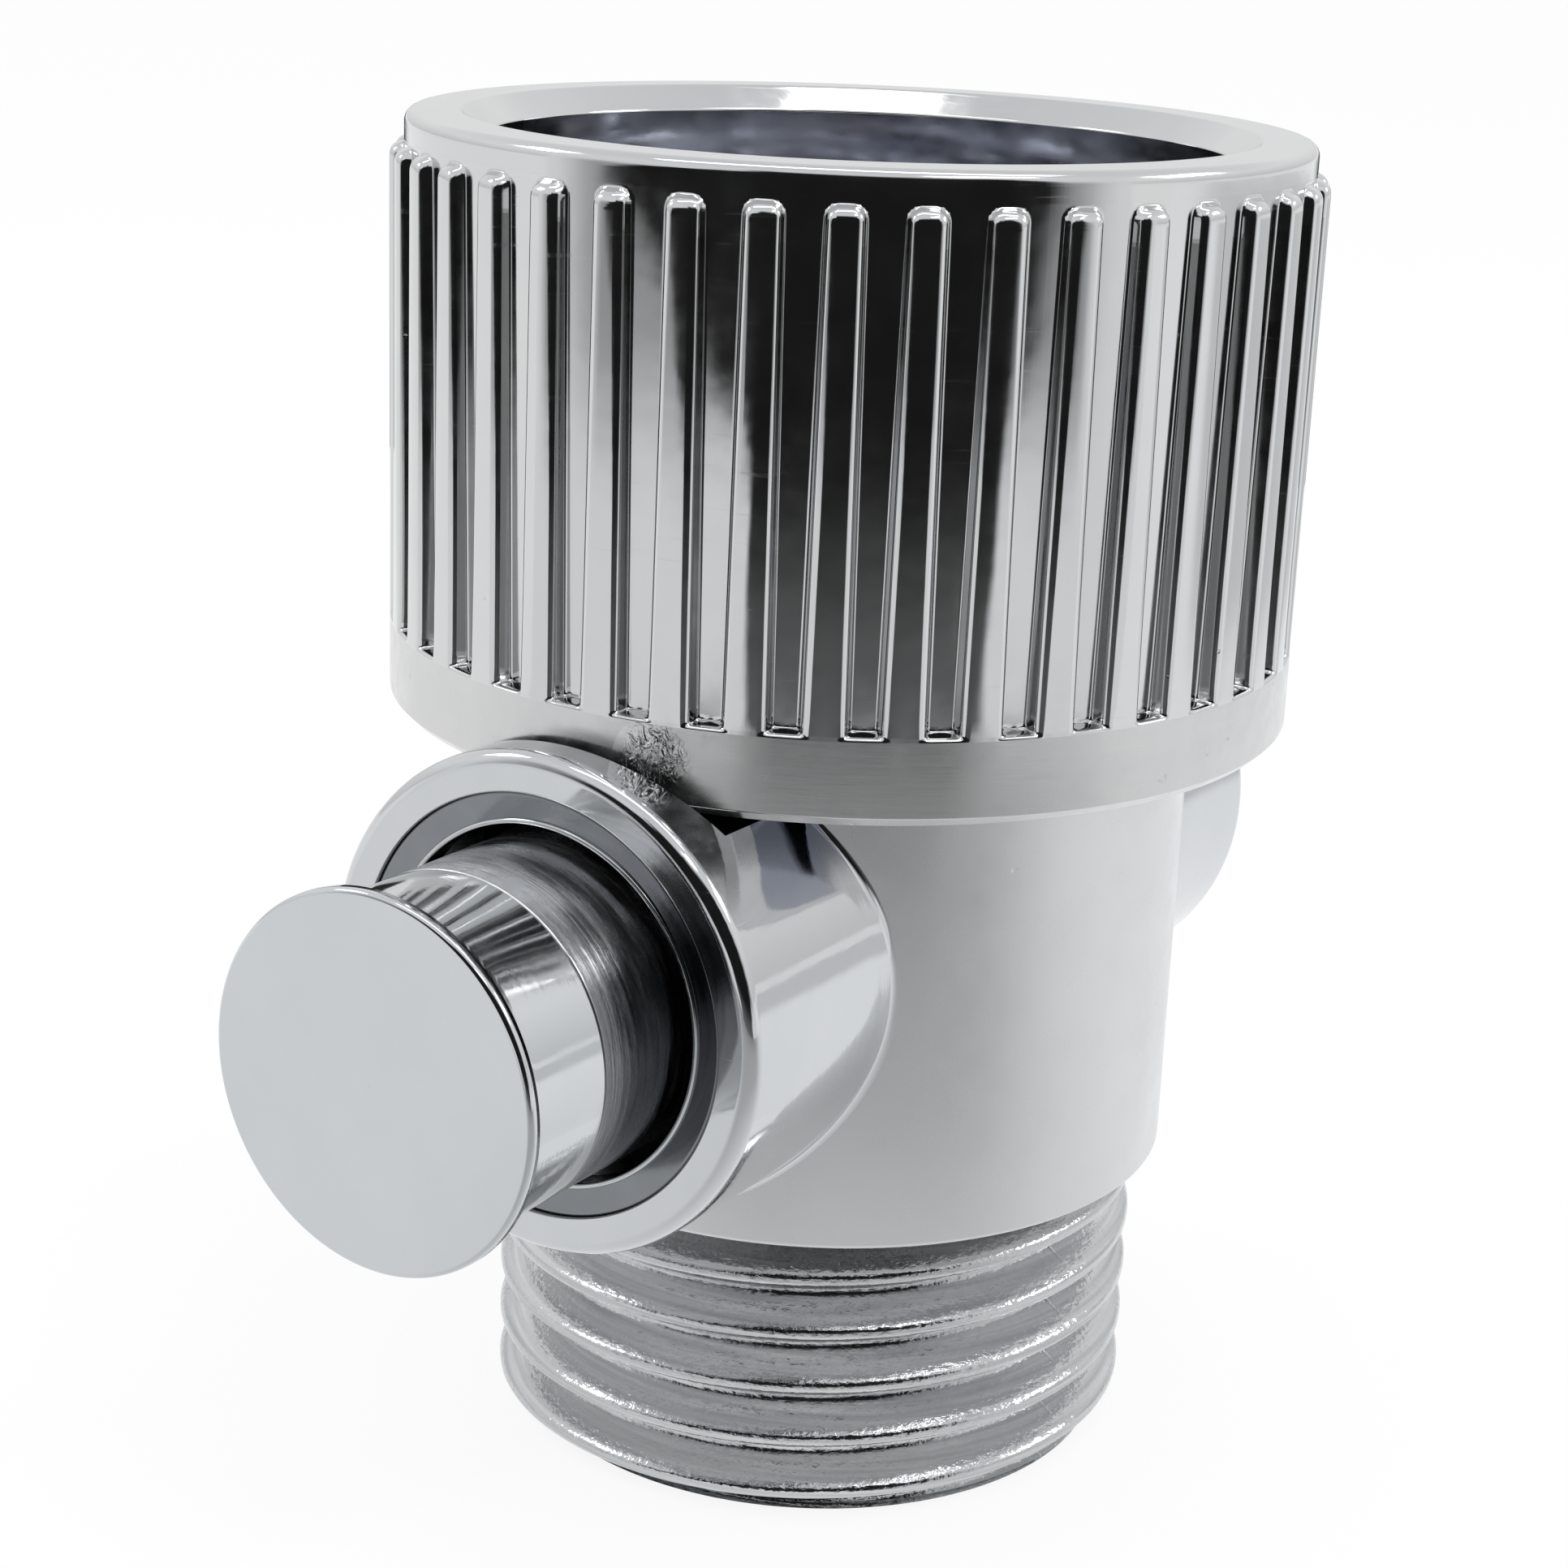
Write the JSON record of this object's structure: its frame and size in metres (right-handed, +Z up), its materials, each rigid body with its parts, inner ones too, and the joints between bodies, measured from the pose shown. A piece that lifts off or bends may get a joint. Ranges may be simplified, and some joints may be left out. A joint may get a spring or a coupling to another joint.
{
  "type": "shower head shut-off valve",
  "caption": "Shut-off valve for a shower head with a ribbed swivel inlet nut, a male-threaded outlet and a push-button spool through a cross boss.",
  "frame": {"origin": "centre of the outlet end face, where the part stands", "axes": "+Z up through the outlet to the inlet nut, X along the spool with the extended front button at -X"},
  "size_m": [0.0389, 0.0282, 0.0417],
  "materials": {
    "body_chrome": "satin",
    "nut_chrome": "polished",
    "button_chrome": "polished",
    "bush_chrome": "polished",
    "spool_steel": "satin",
    "tailpiece_brass": "satin",
    "seal_rubber": "matte",
    "slip_plastic": "matte",
    "screen_steel": "satin"
  },
  "bodies": {
    "valve_body": {"body": "body_chrome", "inlet_tailpiece": "tailpiece_brass", "tailpiece_o_ring": "seal_rubber", "nut_slip_washer": "slip_plastic", "inlet_washer": "seal_rubber", "filter_screen": "screen_steel", "front_bush": "bush_chrome", "rear_bush": "bush_chrome"},
    "nut": {"swivel_nut": "nut_chrome"},
    "spool_set": {"spool": "spool_steel", "front_button": "button_chrome", "rear_button": "button_chrome", "front_o_ring": "seal_rubber", "middle_o_ring": "seal_rubber", "rear_o_ring": "seal_rubber"}
  },
  "joints": [
    {"name": "nut_swivel", "type": "hinge", "parent": "valve_body", "child": "nut", "pos_m": [0, 0, 0.02384], "axis": [0, 0, 1], "continuous": true},
    {"name": "spool_slide", "type": "slide", "parent": "valve_body", "child": "spool_set", "axis": [1, 0, 0], "range_m": [0, 0.00685]}
  ]
}
